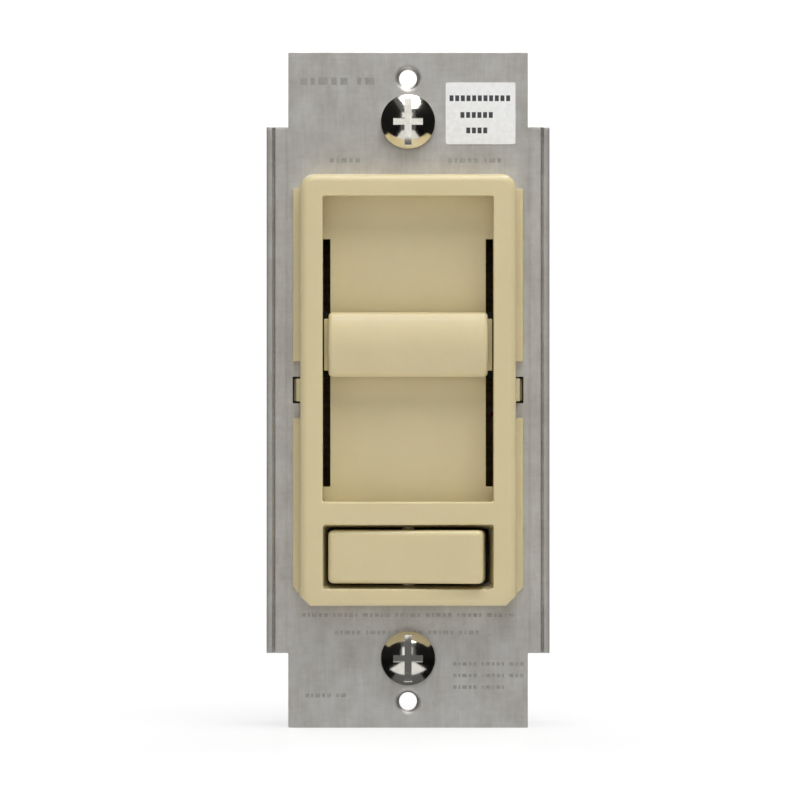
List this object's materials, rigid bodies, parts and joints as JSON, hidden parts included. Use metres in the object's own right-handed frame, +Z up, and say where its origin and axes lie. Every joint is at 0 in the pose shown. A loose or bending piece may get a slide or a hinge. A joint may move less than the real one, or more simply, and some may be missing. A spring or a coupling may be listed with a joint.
{
  "type": "slide dimmer switch",
  "caption": "Decorator-style wall slide dimmer with a preset rocker, metal mounting strap, clip-on face and boxed electronics.",
  "frame": {"origin": "on the strap's rear face, where it seats on the wall box, midway between the two box screws", "axes": "+Z up along the strap, +Y into the wall along the box screws, -Y out of the face to the user, +X the user's right"},
  "size_m": [0.044, 0.0412, 0.105],
  "materials": {
    "aluminium_sheet": "mill-rolled, lightly brushed",
    "ivory_plastic": "moulded, satin-gloss",
    "black_acetal": "moulded, satin",
    "brass_strip": "stamped",
    "tinned_steel": "tin-plated",
    "phenolic_board": "pressed laminate",
    "black_plastic": "moulded, satin",
    "white_acetal": "moulded, satin",
    "spring_steel": "drawn wire",
    "silver_contact": "silver face",
    "black_epoxy": "moulded epoxy with a tinned tab",
    "silicone_pad": "silicone sheet",
    "aluminium_rivet": "bright",
    "iron_powder": "coated iron powder",
    "copper_wire": "enamelled copper wire",
    "yellow_plastic": "moulded box",
    "red_epoxy": "dipped epoxy",
    "resistor_body": "lacquered",
    "diac_glass": "glass bead",
    "blue_plastic": "moulded",
    "black_phenolic": "moulded phenolic, satin",
    "zinc_steel": "zinc-plated",
    "white_paper": "matt self-adhesive",
    "nickel_steel": "nickel-plated steel, bright",
    "vulcan_fibre": "pressed fibre"
  },
  "bodies": {
    "dimmer": {"strap": "aluminium_sheet", "bezel": "ivory_plastic", "pot_case": "tinned_steel", "pot_track": "phenolic_board", "pot_pins": "tinned_steel", "mechanism_frame": "black_plastic", "switch_base": "black_plastic", "fixed_contacts": "brass_strip", "fulcrum_terminal": "brass_strip", "circuit_board": "phenolic_board", "triac": "black_epoxy", "triac_pad": "silicone_pad", "triac_rivet": "aluminium_rivet", "choke_core": "iron_powder", "choke_winding": "copper_wire", "film_capacitor": "yellow_plastic", "trigger_capacitor": "red_epoxy", "resistors": "resistor_body", "diac": "diac_glass", "trim_pot": "blue_plastic", "back_housing": "black_phenolic", "housing_rivets": "zinc_steel", "ground_lug": "brass_strip", "rating_label": "white_paper"},
    "slider": {"slider_knob": "ivory_plastic", "slider_carriage": "black_acetal", "pot_lever": "black_acetal", "pot_wiper": "brass_strip"},
    "rocker": {"rocker_button": "ivory_plastic", "rocker_plunger": "white_acetal", "plunger_spring": "spring_steel"},
    "see_saw": {"contact_arm": "brass_strip", "moving_contacts": "silver_contact"},
    "top_washer": {"washer_top": "vulcan_fibre"},
    "bottom_washer": {"washer_bottom": "vulcan_fibre"},
    "top_screw": {"box_screw_top": "nickel_steel"},
    "bottom_screw": {"box_screw_bottom": "nickel_steel"}
  },
  "joints": [
    {"name": "slider_slide", "type": "slide", "parent": "dimmer", "child": "slider", "axis": [0, 0, 1], "range_m": [-0.0178, 0.0122]},
    {"name": "rocker_turn", "type": "hinge", "parent": "dimmer", "child": "rocker", "pos_m": [0, -0.004, -0.0258], "axis": [0, 0, 1], "range_deg": [0, 10]},
    {"name": "contact_rock", "type": "hinge", "parent": "dimmer", "child": "see_saw", "pos_m": [0, 0.0082, -0.0258], "axis": [0, 0, 1], "range_deg": [-16, 0]},
    {"name": "top_washer_shift", "type": "slide", "parent": "dimmer", "child": "top_washer", "axis": [1, 0, 0], "range_m": [-0.0015, 0.0015]},
    {"name": "bottom_washer_shift", "type": "slide", "parent": "dimmer", "child": "bottom_washer", "axis": [1, 0, 0], "range_m": [-0.0015, 0.0015]},
    {"name": "top_screw_turn", "type": "hinge", "parent": "top_washer", "child": "top_screw", "pos_m": [0, 0, 0.04167], "axis": [0, 1, 0], "continuous": true},
    {"name": "bottom_screw_turn", "type": "hinge", "parent": "bottom_washer", "child": "bottom_screw", "pos_m": [0, 0, -0.04167], "axis": [0, 1, 0], "continuous": true}
  ],
  "couplings": [
    {"joint": "contact_rock", "follows": "rocker_turn", "ratio": -1.6}
  ]
}
